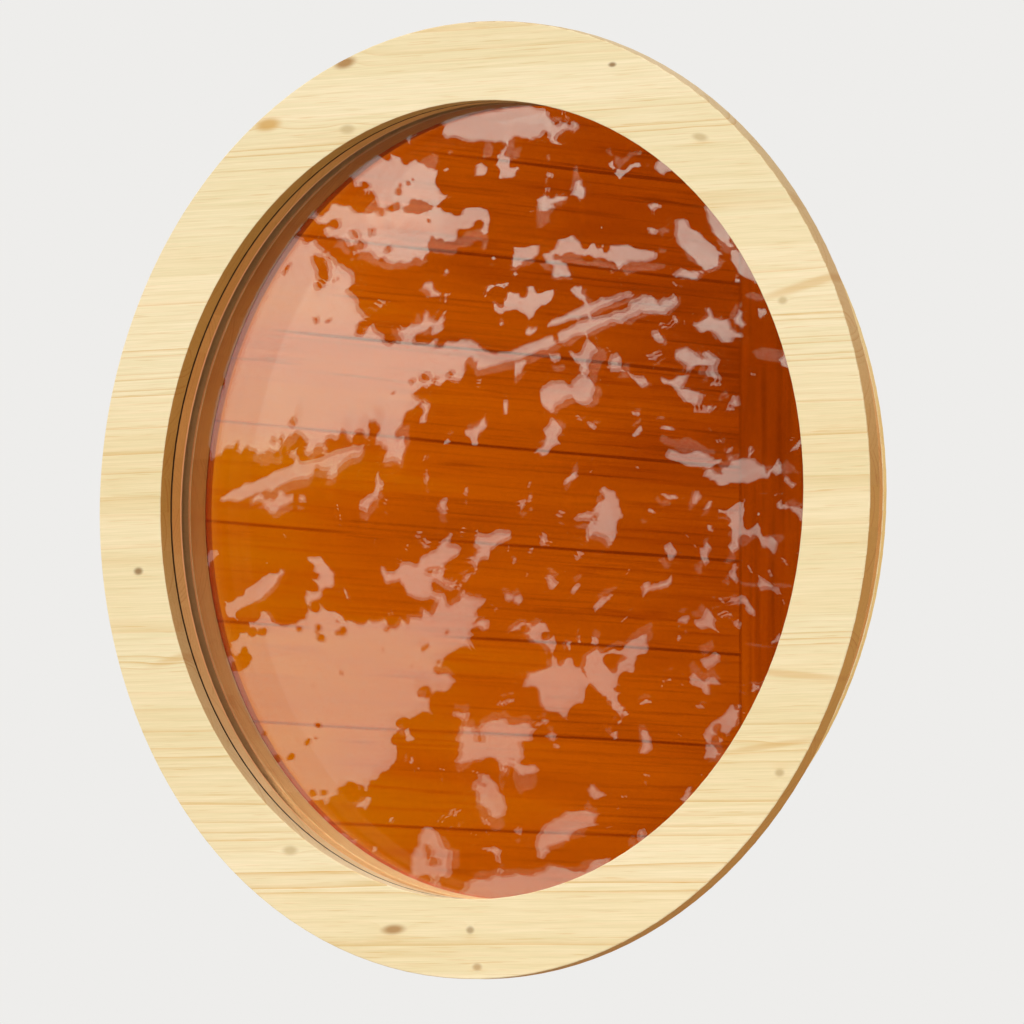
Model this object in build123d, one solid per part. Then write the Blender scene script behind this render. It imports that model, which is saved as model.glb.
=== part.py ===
from build123d import *
from math import cos, degrees, radians, sin
import os

# Every length is in millimetres. The axis of the window is Y, with the outdoors at -Y and the
# room at +Y. +Z is up. The origin is the centre of the window in the back face of the trim ring.
# A depth is a distance along Y from that face, so the outer trim ring has negative depths.

# Clear opening and the flat trim ring round it
opening_diameter = 734.0
trim_width = 73.0
trim_thickness = 16.0
edge_rounding = 1.0

# Groove for a bead of sealant in the back of the trim ring, a little way out from the frame
seal_groove_gap = 1.5
seal_groove_width = 4.0
seal_groove_depth = 2.0

# Round frame behind the trim ring, and the bead on its room side
frame_depth = 62.0
frame_width = 34.0
stop_ring_thickness = 15.0
bead_thickness = 6.0

# Shadow gap round the opening, where the trim ring meets the frame
shadow_gap_width = 1.2
shadow_gap_depth = 4.0

# Sealed double-glazed unit
pane_thickness = 4.0
pane_gap = 6.0
glass_cover = 16.0
glass_edge_clearance = 3.0
glass_rounding = 0.4

# Spacer bar, its seals and what is inside it
bar_height = 5.5
bar_wall = 0.5
butyl_thickness = 0.3
butyl_inset = 0.6
edge_sealant_depth = 3.0
spacer_key_length = 40.0
spacer_key_angle = 90.0
fill_clearance = 0.15

# Foam glazing tapes
tape_thickness = 2.0
tape_width = 9.0
tape_setback = 0.5

# Film of air between a face of glass and what it lies on
glass_film = 0.05

# Blocks round the edge of the unit, with their places as angles from +X towards +Z
setting_block_length = 54.0
setting_block_angles = (-115.0, -65.0)
location_block_length = 34.0
location_block_angles = (0.0, 55.0, 125.0, 180.0)
block_clearance = 0.2

# Sheet of orange glass in its rebate at the room end
sheet_thickness = 4.0
sheet_cover = 12.0
sheet_edge_clearance = 0.6

# Countersunk wood screws
screw_count = 12
screw_head_diameter = 8.6
screw_head_land = 0.3
screw_shank_diameter = 3.4
screw_core_diameter = 2.8
screw_clearance = 0.1
screw_slot_width = 0.9
screw_slot_length = 4.4
screw_slot_depth = 1.8
trim_screw_cover = 3.0
frame_screw_cover = 8.0
bead_screw_bite = 19.0

# Pilot holes in the room side for the screws of fixing straps
strap_hole_count = 8
strap_hole_diameter = 3.0
strap_hole_bite = 12.0

# Radii that follow from the sizes above
opening_radius = opening_diameter / 2
trim_radius = opening_radius + trim_width
frame_radius = opening_radius + frame_width
unit_radius = opening_radius + glass_cover
pocket_radius = unit_radius + glass_edge_clearance
sheet_radius = opening_radius + sheet_cover
sheet_rebate_radius = sheet_radius + sheet_edge_clearance
bar_outer_radius = unit_radius - edge_sealant_depth
bar_inner_radius = bar_outer_radius - bar_height
tape_inner_radius = opening_radius + tape_setback
tape_outer_radius = tape_inner_radius + tape_width
seal_groove_radius = frame_radius + seal_groove_gap
screw_circle_radius = (pocket_radius + frame_radius) / 2
strap_circle_radius = opening_radius + frame_width / 2

# Depths that follow from the sizes above
outer_face = -trim_thickness
unit_front = stop_ring_thickness + tape_thickness
gap_front = unit_front + pane_thickness
gap_back = gap_front + pane_gap
unit_back = gap_back + pane_thickness
inner_stop_front = unit_back + tape_thickness
sheet_back = frame_depth - tape_thickness
sheet_front = sheet_back - sheet_thickness
room_face = frame_depth + bead_thickness

# Angles that follow from the sizes above
full_turn = 360.0
screw_step = full_turn / screw_count
strap_step = full_turn / strap_hole_count


def ring(inner_radius, outer_radius, near, far, rounding=0.0):
    """Flat ring about the axis of the window, with all four edges rounded alike."""
    centre = Pos((inner_radius + outer_radius) / 2, (near + far) / 2)
    section = centre * Rectangle(outer_radius - inner_radius, far - near)
    if rounding > 0:
        section = fillet(section.vertices(), rounding)
    return revolve(section, Axis.Y)


def disc(radius, near, far, rounding=0.0):
    """Flat disc about the axis of the window, with both rims rounded alike."""
    section = Pos(radius / 2, (near + far) / 2) * Rectangle(radius, far - near)
    if rounding > 0:
        rim = [corner for corner in section.vertices() if corner.X > radius / 2]
        section = fillet(rim, rounding)
    return revolve(section, Axis.Y)


def arc_of(length, inner_radius, outer_radius):
    """Angle that a length takes up along the middle of a ring."""
    return degrees(length / ((inner_radius + outer_radius) / 2))


def arc_piece(inner_radius, outer_radius, near, far, middle, arc):
    """Arc of a ring, centred on an angle measured from +X towards +Z."""
    centre = Pos((inner_radius + outer_radius) / 2, (near + far) / 2)
    section = centre * Rectangle(outer_radius - inner_radius, far - near)
    piece = revolve(section, Axis.Y, revolution_arc=arc)
    # Turning about +Y goes from +X down towards -Z, so the piece ends at +X
    return Rot(0, -(middle + arc / 2), 0) * piece


def around(make, count, radius, depth, first_angle):
    """Copies of an upright piece set round the axis, with their tops facing the room."""
    copies = []
    for index in range(count):
        angle = radians(first_angle + index * full_turn / count)
        place = Pos(radius * cos(angle), depth, radius * sin(angle))
        copies.append(place * Rot(-90, 0, 0) * make)
    return copies


def screw_form(clamped, length, clearance=0.0):
    """Countersunk screw standing on its tip, head at the top in the plane Z = 0."""
    head = screw_head_diameter / 2 + clearance
    shank = screw_shank_diameter / 2 + clearance
    core = screw_core_diameter / 2 + clearance
    neck = screw_head_land + head - shank
    outline = [
        (0, 0),
        (head, 0),
        (head, -screw_head_land),
        (shank, -neck),
        (shank, -clamped),
        (core, -clamped - (shank - core)),
        (core, -length + core),
        (0, -length - clearance),
    ]
    return revolve(Plane.XZ * make_face(Polyline(*outline, close=True)), Axis.Z)


def screw(clamped, length):
    """Countersunk screw with a cross recess in its head."""
    slot = Pos(0, 0, -screw_slot_depth / 2) * Box(screw_slot_length, screw_slot_width, screw_slot_depth)
    return screw_form(clamped, length) - slot - Rot(0, 0, 90) * slot


def trim_screw_size():
    """Part clamped and whole length of the screws that hold the trim ring."""
    return stop_ring_thickness, stop_ring_thickness + trim_thickness - trim_screw_cover


def frame_screw_size():
    """Part clamped and whole length of the screws through the three frame rings."""
    return frame_depth - stop_ring_thickness, frame_depth - frame_screw_cover


def bead_screw_size():
    """Part clamped and whole length of the screws that hold the glazing bead."""
    return bead_thickness, bead_thickness + bead_screw_bite


def on_screw_circle(make, depth, first_angle):
    """Copies of a screw or of its hole, all round the frame."""
    return around(make, screw_count, screw_circle_radius, depth, first_angle)


def trim_screws():
    """Screws driven from behind the outer stop ring, so that none shows outdoors."""
    return on_screw_circle(screw(*trim_screw_size()), stop_ring_thickness, screw_step / 2)


def trim_screw_holes():
    """Holes for the screws of the trim ring."""
    hole = screw_form(*trim_screw_size(), screw_clearance)
    return on_screw_circle(hole, stop_ring_thickness, screw_step / 2)


def frame_screws():
    """Screws that clamp the frame rings together, with heads under the glazing bead."""
    return on_screw_circle(screw(*frame_screw_size()), frame_depth, 0)


def frame_screw_holes():
    """Holes for the screws of the frame rings."""
    return on_screw_circle(screw_form(*frame_screw_size(), screw_clearance), frame_depth, 0)


def bead_screws():
    """Screws on the room side, between the screws of the frame."""
    return on_screw_circle(screw(*bead_screw_size()), room_face, screw_step / 2)


def bead_screw_holes():
    """Holes for the screws of the glazing bead."""
    hole = screw_form(*bead_screw_size(), screw_clearance)
    return on_screw_circle(hole, room_face, screw_step / 2)


def strap_holes():
    """Pilot holes through the glazing bead into the frame, in the middle of its width."""
    depth = bead_thickness + strap_hole_bite
    hole = Pos(0, 0, -depth / 2) * Cylinder(strap_hole_diameter / 2, depth)
    return around(hole, strap_hole_count, strap_circle_radius, room_face, strap_step / 2)


def seal_groove():
    """Square groove in the back of the trim ring."""
    outside = seal_groove_radius + seal_groove_width
    return ring(seal_groove_radius, outside, -seal_groove_depth, seal_groove_depth)


def outer_trim_ring():
    """Flat ring cut from one panel, screwed from behind so that its face stays whole."""
    blank = ring(opening_radius, trim_radius, outer_face, 0, edge_rounding)
    return blank - seal_groove() - trim_screw_holes()


def shadow_gap():
    """Square step in the front edge of the frame's opening."""
    outside = opening_radius + shadow_gap_depth
    return ring(opening_radius - shadow_gap_depth, outside, -shadow_gap_width, shadow_gap_width)


def outer_stop_ring():
    """First ring of the frame, which the sealed unit rests against."""
    blank = ring(opening_radius, frame_radius, 0, stop_ring_thickness, edge_rounding)
    return blank - shadow_gap() - trim_screw_holes() - frame_screw_holes()


def glazing_ring():
    """Middle ring of the frame, as thick as the sealed unit and its two tapes."""
    return ring(pocket_radius, frame_radius, stop_ring_thickness, inner_stop_front) - frame_screw_holes()


def inner_stop_ring():
    """Last ring of the frame, which holds the unit and has the rebate of the orange sheet."""
    blank = ring(opening_radius, frame_radius, inner_stop_front, frame_depth, edge_rounding)
    rebate = disc(sheet_rebate_radius, sheet_front - glass_film, room_face)
    return blank - rebate - frame_screw_holes() - bead_screw_holes() - strap_holes()


def glazing_bead():
    """Ring on the room side that holds the orange sheet in its rebate."""
    blank = ring(opening_radius, frame_radius, frame_depth, room_face, edge_rounding)
    return blank - bead_screw_holes() - strap_holes()


def spacer_bar():
    """Hollow bar of rectangular section, bent to a full ring between the panes."""
    near = gap_front + butyl_thickness
    far = gap_back - butyl_thickness
    outside = ring(bar_inner_radius, bar_outer_radius, near, far)
    hollow = ring(*bar_inside(0))
    return outside - hollow


def bar_inside(clearance):
    """Radii and depths of the space inside the spacer bar, less a clearance on all four walls."""
    inset = bar_wall + clearance
    near = gap_front + butyl_thickness + inset
    far = gap_back - butyl_thickness - inset
    return bar_inner_radius + inset, bar_outer_radius - inset, near, far


def spacer_key_arc():
    """Angle that the key takes up inside the bar."""
    return arc_of(spacer_key_length, bar_inner_radius, bar_outer_radius)


def spacer_key():
    """Key bent to the curve of the bar, across its joint at the top."""
    return arc_piece(*bar_inside(fill_clearance), spacer_key_angle, spacer_key_arc())


def desiccant():
    """Drying beads, as one fill of the bar from one end of its key round to the other."""
    opposite = spacer_key_angle + full_turn / 2
    return arc_piece(*bar_inside(fill_clearance), opposite, full_turn - spacer_key_arc())


def butyl_seals():
    """Two flat primary seals between the sides of the bar and the panes."""
    inner = bar_inner_radius + butyl_inset
    outer = bar_outer_radius - butyl_inset
    front = ring(inner, outer, gap_front, gap_front + butyl_thickness)
    back = ring(inner, outer, gap_back - butyl_thickness, gap_back)
    return [front, back]


def glazing_tape(near, far):
    """Flat ring of tape, set back from the opening so that its edge isn't seen."""
    return ring(tape_inner_radius, tape_outer_radius, near, far)


def edge_blocks(angles, length):
    """Blocks in the clearance round the unit, as wide as the unit is thick."""
    low = unit_radius + block_clearance
    high = pocket_radius - block_clearance
    arc = arc_of(length, low, high)
    return [arc_piece(low, high, unit_front, unit_back, angle, arc) for angle in angles]


nodes = {
    "outer_trim_ring": outer_trim_ring(),
    "outer_stop_ring": outer_stop_ring(),
    "glazing_ring": glazing_ring(),
    "inner_stop_ring": inner_stop_ring(),
    "glazing_bead": glazing_bead(),
    "outer_glass_pane": disc(unit_radius, unit_front, gap_front, glass_rounding),
    "inner_glass_pane": disc(unit_radius, gap_back, unit_back, glass_rounding),
    "spacer_bar": spacer_bar(),
    "spacer_key": spacer_key(),
    "desiccant": desiccant(),
    "butyl_seals": butyl_seals(),
    "edge_sealant": ring(bar_outer_radius, unit_radius, gap_front, gap_back),
    "outer_glazing_tape": glazing_tape(stop_ring_thickness, unit_front - glass_film),
    "inner_glazing_tape": glazing_tape(unit_back + glass_film, inner_stop_front),
    "setting_blocks": edge_blocks(setting_block_angles, setting_block_length),
    "location_blocks": edge_blocks(location_block_angles, location_block_length),
    "tinted_sheet": disc(sheet_radius, sheet_front, sheet_back, glass_rounding),
    "sheet_tape": glazing_tape(sheet_back + glass_film, frame_depth),
    "trim_screws": trim_screws(),
    "frame_screws": frame_screws(),
    "bead_screws": bead_screws(),
}

os.makedirs("parts", exist_ok=True)
for name, form in nodes.items():
    solids = form if isinstance(form, list) else [form]
    bodies = [solid for piece in solids for solid in piece.solids()]
    whole = bodies[0] if len(bodies) == 1 else Compound(children=bodies)
    export_step(whole, f"parts/{name}.step")
    low, high = whole.bounding_box().min, whole.bounding_box().max
    print(f"{name}: {len(bodies)} solid(s), depth {low.Y:.1f} to {high.Y:.1f}, radius {high.X:.1f}")
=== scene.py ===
# %% [markdown]
# # A round timber window
#
# A fixed window: one flat ring of glued spruce panel in front, a round pine frame behind it, a clear
# sealed glass unit in the frame and a sheet of orange rolled glass at the room end. The pieces are
# already solid models at their real size. This notebook loads them, gives each one the finish of its
# real material, cuts the threads of the screws and lights it all softly. Lengths are in metres. Y is
# the axis of the window, with the outdoors at -Y, and Z is up.

# %% Load the pieces
from math import cos, pi, radians, sin

import bpy
import numpy as np
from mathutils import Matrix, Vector


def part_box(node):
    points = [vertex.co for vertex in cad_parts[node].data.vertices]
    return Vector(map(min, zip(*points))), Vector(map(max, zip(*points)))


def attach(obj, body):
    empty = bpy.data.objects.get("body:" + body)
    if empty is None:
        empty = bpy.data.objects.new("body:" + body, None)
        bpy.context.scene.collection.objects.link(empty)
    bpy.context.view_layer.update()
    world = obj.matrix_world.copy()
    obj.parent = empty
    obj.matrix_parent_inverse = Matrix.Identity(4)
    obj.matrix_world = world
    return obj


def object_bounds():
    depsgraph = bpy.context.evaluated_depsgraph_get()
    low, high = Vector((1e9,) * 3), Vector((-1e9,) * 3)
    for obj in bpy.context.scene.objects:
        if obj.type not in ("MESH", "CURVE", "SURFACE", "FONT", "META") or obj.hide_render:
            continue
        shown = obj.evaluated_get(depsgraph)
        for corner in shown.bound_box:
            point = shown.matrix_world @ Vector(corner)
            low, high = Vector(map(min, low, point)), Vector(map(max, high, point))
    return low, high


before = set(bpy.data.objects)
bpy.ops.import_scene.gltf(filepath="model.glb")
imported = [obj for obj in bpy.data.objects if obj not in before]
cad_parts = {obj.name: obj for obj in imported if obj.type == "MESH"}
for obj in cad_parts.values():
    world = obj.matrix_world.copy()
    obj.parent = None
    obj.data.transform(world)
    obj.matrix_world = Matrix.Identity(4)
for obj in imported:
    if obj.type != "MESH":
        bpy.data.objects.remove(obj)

cad_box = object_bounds()
print("pieces:", len(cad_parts), "box:", [[round(c, 3) for c in corner] for corner in cad_box])

# %% [markdown]
# ## Camera
#
# The window is seen from far off through a long lens, a little from the right and from below its
# centre, so the round ring looks like an upright oval. A camera could be moved closer with a shorter
# lens, but then the near edge of the ring would swell, so the long lens is the right one.

# %% Set the camera
scene = bpy.context.scene
scene.view_settings.view_transform = "Standard"

CAMERA_PLACE = Vector((5.935, -8.025, -0.497))
CAMERA_AIM = Vector((0.0426, -0.0160, -0.0129))
CAMERA_LENS_MM = 382.25

camera_data = bpy.data.cameras.new("camera")
camera_data.lens = CAMERA_LENS_MM
camera_data.sensor_width = 36
camera_data.clip_end = 200
camera = bpy.data.objects.new("camera", camera_data)
camera.location = CAMERA_PLACE
camera.rotation_euler = (CAMERA_AIM - CAMERA_PLACE).to_track_quat("-Z", "Y").to_euler()
scene.collection.objects.link(camera)
scene.camera = camera
print("distance to the window:", round((CAMERA_AIM - CAMERA_PLACE).length, 2), "m")

# %% [markdown]
# ## Tools for materials
#
# Colours are written as sRGB hex values, the way a paint chart gives them, and one function turns them
# to the linear numbers that the shaders work with.

# %% Colours
MM = 0.001


def linear(hex_colour):
    """sRGB hex to linear RGBA: c becomes c / 12.92 below 0.04045, else ((c + 0.055) / 1.055) to the
    power 2.4."""
    channels = [int(hex_colour[i:i + 2], 16) / 255 for i in (1, 3, 5)]
    return tuple(c / 12.92 if c <= 0.04045 else ((c + 0.055) / 1.055) ** 2.4 for c in channels) + (1.0,)


print("middle grey #808080 is", round(linear("#808080")[0], 3), "in linear light")

# %% [markdown]
# A second function adds a node, sets it and fills its sockets. A node that is handed to it as a value
# is linked by its first live output, so a material reads from top to bottom like a recipe. The nodes
# could be placed by hand in the editor instead, but then their numbers would be hidden in a file.

# %% A function that adds a node
def add(tree, kind, sockets=(), **settings):
    """Adds a shader node with its settings. Its sockets come as a list in their order, or as a dict by
    name or number."""
    node = tree.nodes.new("ShaderNode" + kind)
    for name, value in settings.items():
        setattr(node, name, value)
    for key, value in sockets.items() if isinstance(sockets, dict) else enumerate(sockets):
        if isinstance(value, bpy.types.Node):
            value = next(output for output in value.outputs if output.enabled)
        if isinstance(value, bpy.types.NodeSocket):
            tree.links.new(value, node.inputs[key])
        else:
            node.inputs[key].default_value = value
    return node


# %% [markdown]
# Three short helpers use it: one starts a material with its shader, one links finished patterns to that
# shader, and one puts the material on the pieces by their names. A value that is the same all over a
# surface is set on the shader itself, so that it also reaches a program that reads no nodes.

# %% Materials and the pieces that wear them
def new_material(name, roughness=0.5, **values):
    """Material with a Principled shader on its output. Values go to the shader's sockets, with an
    underscore for a space."""
    material = bpy.data.materials.new(name)
    material.use_nodes = True
    tree = material.node_tree
    tree.nodes.clear()
    shader = add(tree, "BsdfPrincipled", {"Roughness": roughness})
    for socket, value in values.items():
        shader.inputs[socket.replace("_", " ")].default_value = value
    add(tree, "OutputMaterial", [shader])
    return material, tree, shader


def feed(tree, shader, **values):
    """Links nodes to the named sockets of a shader, with an underscore for a space."""
    for socket, node in values.items():
        output = next(output for output in node.outputs if output.enabled)
        tree.links.new(output, shader.inputs[socket.replace("_", " ")])


def dress(material, *node_names):
    """Puts a material on pieces of the loaded model."""
    for name in node_names:
        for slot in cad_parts[name].material_slots:
            slot.material = material
    print(material.name, "on", ", ".join(node_names))


# %% [markdown]
# Two shapes come back in several materials: a patch of noise that is drawn out along the grain, with
# its real length and width in millimetres, and an egg, which says how deep a point lies in a knot or,
# further on, in a gap.

# %% Streaks and eggs
def streaks(tree, place, long_mm, wide_mm, detail=2.0, roughness=0.5, shift=None):
    """Noise about 0.5 in patches long_mm long along X and wide_mm across: X and the rest are divided by
    those sizes. A shift slides the patches through a fourth direction, so that each shift has its own."""
    squeeze = (1 / (long_mm * MM), 1 / (wide_mm * MM), 1 / (wide_mm * MM))
    drawn = add(tree, "VectorMath", [place, squeeze], operation="MULTIPLY")
    moved = {} if shift is None else {"W": shift}
    return add(tree, "TexNoise",
               {"Vector": drawn, "Scale": 1.0, "Detail": detail, "Roughness": roughness, **moved},
               noise_dimensions="4D" if moved else "3D")


def egg(tree, place, middle, half_sizes, turn=(0.0, 0.0, 0.0)):
    """Distance from the middle of an egg in its own half sizes: 0 at the middle, 1 on the skin."""
    inside = add(tree, "Mapping", [place, middle, turn, half_sizes], vector_type="TEXTURE")
    return add(tree, "VectorMath", [inside], operation="LENGTH")


# %% [markdown]
# ## Wood as a solid
#
# The rings are cut from panels that are glued up from level strips, so the grain runs straight through
# a ring and comes out as long lines on its face, as end grain at its left and right edges, and as
# side grain at its top and bottom. A flat picture of wood would have to be bent round each edge. Here
# the wood is worked out in space instead, and every cut shows what a saw would find there.
#
# Each strip is a slice of its own log, and its growth rings are circles round a pith line that runs
# along the strip somewhere above or below it, and out in front of its face, where the saw left it.

# %% Strips and their pith lines
PITH_SLOPE = 0.008
PITH_REACH_UP = 45 * MM
PITH_REACH_OUT = (16 * MM, 76 * MM)


def glued_strips(tree, place, strip_mm, seed):
    """Level strips of uneven height, as cells along Z. Returns the height of the strip's middle and
    three numbers of its own."""
    height = add(tree, "SeparateXYZ", [place]).outputs["Z"]
    lifted = add(tree, "Math", [height, seed], operation="ADD")
    strip = add(tree, "TexVoronoi", {"W": lifted, "Scale": 1 / (strip_mm * MM), "Randomness": 0.55},
                voronoi_dimensions="1D")
    middle = add(tree, "Math", [strip.outputs["W"], seed], operation="SUBTRACT")
    return middle, add(tree, "SeparateColor", [strip.outputs["Color"]]).outputs


def pith_distance(tree, place, middle, luck):
    """Distance to the pith: the length of the offset up and along Y from a line that also slopes along
    the strip."""
    x, y, z = add(tree, "SeparateXYZ", [place]).outputs
    slope = add(tree, "MapRange", [luck[1], 0.0, 1.0, -PITH_SLOPE, PITH_SLOPE])
    rise = add(tree, "Math", [x, slope, z], operation="MULTIPLY_ADD")
    pith_up = add(tree, "MapRange", [luck[2], 0.0, 1.0, -PITH_REACH_UP, PITH_REACH_UP])
    pith_out = add(tree, "MapRange", [luck[1], 0.0, 1.0, *PITH_REACH_OUT])
    from_middle = add(tree, "Math", [rise, middle], operation="SUBTRACT")
    up = add(tree, "Math", [from_middle, pith_up], operation="ADD")
    behind = add(tree, "Math", [y, pith_out], operation="ADD")
    offset = add(tree, "CombineXYZ", [0.0, behind, up])
    return add(tree, "VectorMath", [offset], operation="LENGTH")


# %% [markdown]
# The distance to the pith, divided by the ring width, counts the rings: its whole part names a ring,
# and its fraction climbs through the pale early wood to the narrow honey line of late wood and then
# drops at once. The rings aren't true circles, so a slow wave bends them. A knot is the foot of a
# branch that the trunk has grown round, so it swells the rings about itself and stains its own middle.

# %% Rings and knots
# Factors that turn one number of a strip into draws that lie far apart
BEND_DRAW = 9.0
RING_DRAW = 91.0

RING_BEND_MM = 6.0
KNOT_BULGE_MM = 4.0
KNOT_FULL_HEIGHT_MM = 6
KNOT_MIDDLE = -8 * MM
KNOT_HALF_DEPTH = 60 * MM


def ring_bend(tree, place, luck):
    """How far the rings stray from their circles, from a wave of their own in each strip."""
    own = add(tree, "Math", [luck[0], BEND_DRAW], operation="MULTIPLY")
    wave = streaks(tree, place, 420, 80, detail=2.0, roughness=0.45, shift=own)
    return add(tree, "MapRange", [wave, 0.0, 1.0, -RING_BEND_MM / 2 * MM, RING_BEND_MM / 2 * MM])


def set_knots(tree, place, pith, knots):
    """Swells the rings round each knot by the bell exp(-0.35 reach squared), less for a knot that is not
    so tall. Returns the pith distance and, for each knot, the colour of its middle and a share of that
    colour that grows from 1.25 to 0.35 of the knot's half sizes."""
    stains = []
    for knot_x, knot_z, length, tall, tilt, hue, strength in knots:
        reach = egg(tree, place, (knot_x * MM, KNOT_MIDDLE, knot_z * MM),
                    (length * MM, KNOT_HALF_DEPTH, tall * MM), (0.0, radians(-tilt), 0.0))
        squared = add(tree, "Math", [reach, reach], operation="MULTIPLY")
        fall = add(tree, "Math", [squared, -0.35], operation="MULTIPLY")
        bell = add(tree, "Math", [fall], operation="EXPONENT")
        bulge = KNOT_BULGE_MM * MM * min(1.0, tall / KNOT_FULL_HEIGHT_MM)
        pith = add(tree, "Math", [bell, bulge, pith], operation="MULTIPLY_ADD")
        core = add(tree, "MapRange", [reach, 1.25, 0.35, 0.0, strength],
                   interpolation_type="SMOOTHSTEP")
        stains.append((core, hue))
    return pith, stains


def late_wood_lines(tree, pith, ring_mm, luck, contrast):
    """Share of late wood: the fraction of the ring count to the fourth power, times a depth from 0.1 to
    the contrast that each ring draws as the cube of a random number."""
    count = add(tree, "Math", [pith, ring_mm * MM], operation="DIVIDE")
    whole = add(tree, "Math", [count], operation="FLOOR")
    own = add(tree, "Math", [luck[0], RING_DRAW], operation="MULTIPLY")
    name = add(tree, "Math", [whole, own], operation="ADD")
    draw = add(tree, "TexWhiteNoise", {"W": name}, noise_dimensions="1D")
    vigour = add(tree, "Math", [draw, 3.0], operation="POWER")
    depth = add(tree, "MapRange", [vigour, 0.0, 1.0, 0.10, contrast])
    climb = add(tree, "Math", [count], operation="FRACT")
    late_wood = add(tree, "Math", [climb, 4.0], operation="POWER")
    return add(tree, "Math", [late_wood, depth], operation="MULTIPLY")


# %% [markdown]
# Between the rings the eye finds three more things: honey bands where dense rings lie together, fibres
# a millimetre or two across, and short golden dashes where a cut runs along a resin canal or just
# grazes a ring. The colour goes from the pale of the strip towards the late wood by their sum.

# %% Bands, dashes and tone
BAND_DRAW = 7.0


def honey_bands(tree, place, luck, seed):
    """Share of the broad bands: the upper part of streaks 620 by 26 mm, with its own draw in each strip."""
    own = add(tree, "Math", [luck[2], BAND_DRAW, seed], operation="MULTIPLY_ADD")
    band = streaks(tree, place, 620, 26, detail=3.0, roughness=0.55, shift=own)
    return add(tree, "MapRange", [band, 0.56, 0.78, 0.0, 0.42], interpolation_type="SMOOTHSTEP")


def golden_dashes(tree, place):
    """Share of the dashes: the upper part of streaks 46 by 1.2 mm."""
    dash = streaks(tree, place, 46, 1.2, detail=1.0, shift=5.0)
    return add(tree, "MapRange", [dash, 0.60, 0.74, 0.0, 0.34], interpolation_type="SMOOTHSTEP")


def wood_tone(tree, fibre, luck):
    """Tone of fibre and strip as a colour to multiply by, with its blue squared, because darker wood is
    also yellower."""
    fibre_tone = add(tree, "MapRange", [fibre, 0.28, 0.72, 0.915, 1.045])
    strip_tone = add(tree, "MapRange", [luck[0], 0.0, 1.0, 0.955, 1.01])
    tone = add(tree, "Math", [fibre_tone, strip_tone], operation="MULTIPLY")
    return add(tree, "CombineColor", [tone, tone, add(tree, "Math", [tone, 2.0], operation="POWER")])


# %% [markdown]
# Sawn edges drink more oil than planed faces and turn brown. Those that face up keep less of the brown,
# which is painted light from above. The edges could be a material of their own, but each ring is one mesh
# whose faces know only where they look, so the direction of the face tells the two apart.

# %% Sawn edges, with painted light on those that face up
def sawn_edge_with_painted_light(tree):
    """Share of sawn edge: it goes from 0 to 1 as a face's Y direction falls from 0.8 to 0.3, times 1 for a
    level edge down to 0.35 for one that faces up, which is painted light on upward faces."""
    facing = add(tree, "SeparateXYZ", [add(tree, "TexCoord").outputs["Normal"]]).outputs
    along_axis = add(tree, "Math", [facing["Y"]], operation="ABSOLUTE")
    sawn = add(tree, "MapRange", [along_axis, 0.8, 0.3], interpolation_type="SMOOTHSTEP")
    # Painted light: faces that look up keep less of the brown of the sawn edge
    tint_left_by_painted_light = add(tree, "MapRange", [facing["Z"], 0.0, 1.0, 1.0, 0.35])
    return add(tree, "Math", [sawn, tint_left_by_painted_light], operation="MULTIPLY")


# %% [markdown]
# Now the whole recipe: strips, their rings and knots, then one colour laid over the other. The colours
# could be mixed by hand for each ring of the window, but then no two of them would match.

# %% Lay the wood
def lay_wood(tree, strip_mm, ring_mm, pale, late, end_tint, seed, contrast, knots=()):
    """Lays glued strips of wood into a material. Returns the colour, the fibres as a height for bump and
    the share of sawn edge, which painted light makes smaller on faces that look up."""
    place = add(tree, "TexCoord").outputs["Object"]
    middle, luck = glued_strips(tree, place, strip_mm, seed)
    circles = pith_distance(tree, place, middle, luck)
    pith = add(tree, "Math", [circles, ring_bend(tree, place, luck)], operation="ADD")
    pith, stains = set_knots(tree, place, pith, knots)

    line = late_wood_lines(tree, pith, ring_mm, luck, contrast)
    honey = honey_bands(tree, place, luck, seed)
    lines = add(tree, "Math", [line, honey], operation="ADD")
    dark = add(tree, "Math", [lines, golden_dashes(tree, place)], operation="ADD", use_clamp=True)
    fibre = streaks(tree, place, 80, 1.5, detail=3.0, roughness=0.65)
    tone = wood_tone(tree, fibre, luck)
    sawn = sawn_edge_with_painted_light(tree)

    colour = add(tree, "Mix", {0: luck[1], 6: linear(pale[0]), 7: linear(pale[1])}, data_type="RGBA")
    colour = add(tree, "Mix", {0: dark, 6: colour, 7: linear(late)}, data_type="RGBA")
    colour = add(tree, "Mix", {0: 1.0, 6: colour, 7: tone}, data_type="RGBA", blend_type="MULTIPLY")
    for core, hue in stains:
        colour = add(tree, "Mix", {0: core, 6: colour, 7: linear(hue)}, data_type="RGBA")
    colour = add(tree, "Mix", {0: sawn, 6: colour, 7: linear(end_tint)}, data_type="RGBA",
                 blend_type="MULTIPLY")
    return colour, fibre, sawn


# %% [markdown]
# The trim is screwed to the frame from behind, with a narrow shadow gap round the opening. The gap is
# real in the solids, but its shade alone is too weak at this size, and the two edges would catch the
# light as a pale seam, so dark brown shade is painted into the wood beside it.

# %% The joint of trim and frame
JOINT_MIDDLE = 0.6 * MM
OPENING_RADIUS = 367 * MM


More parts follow.
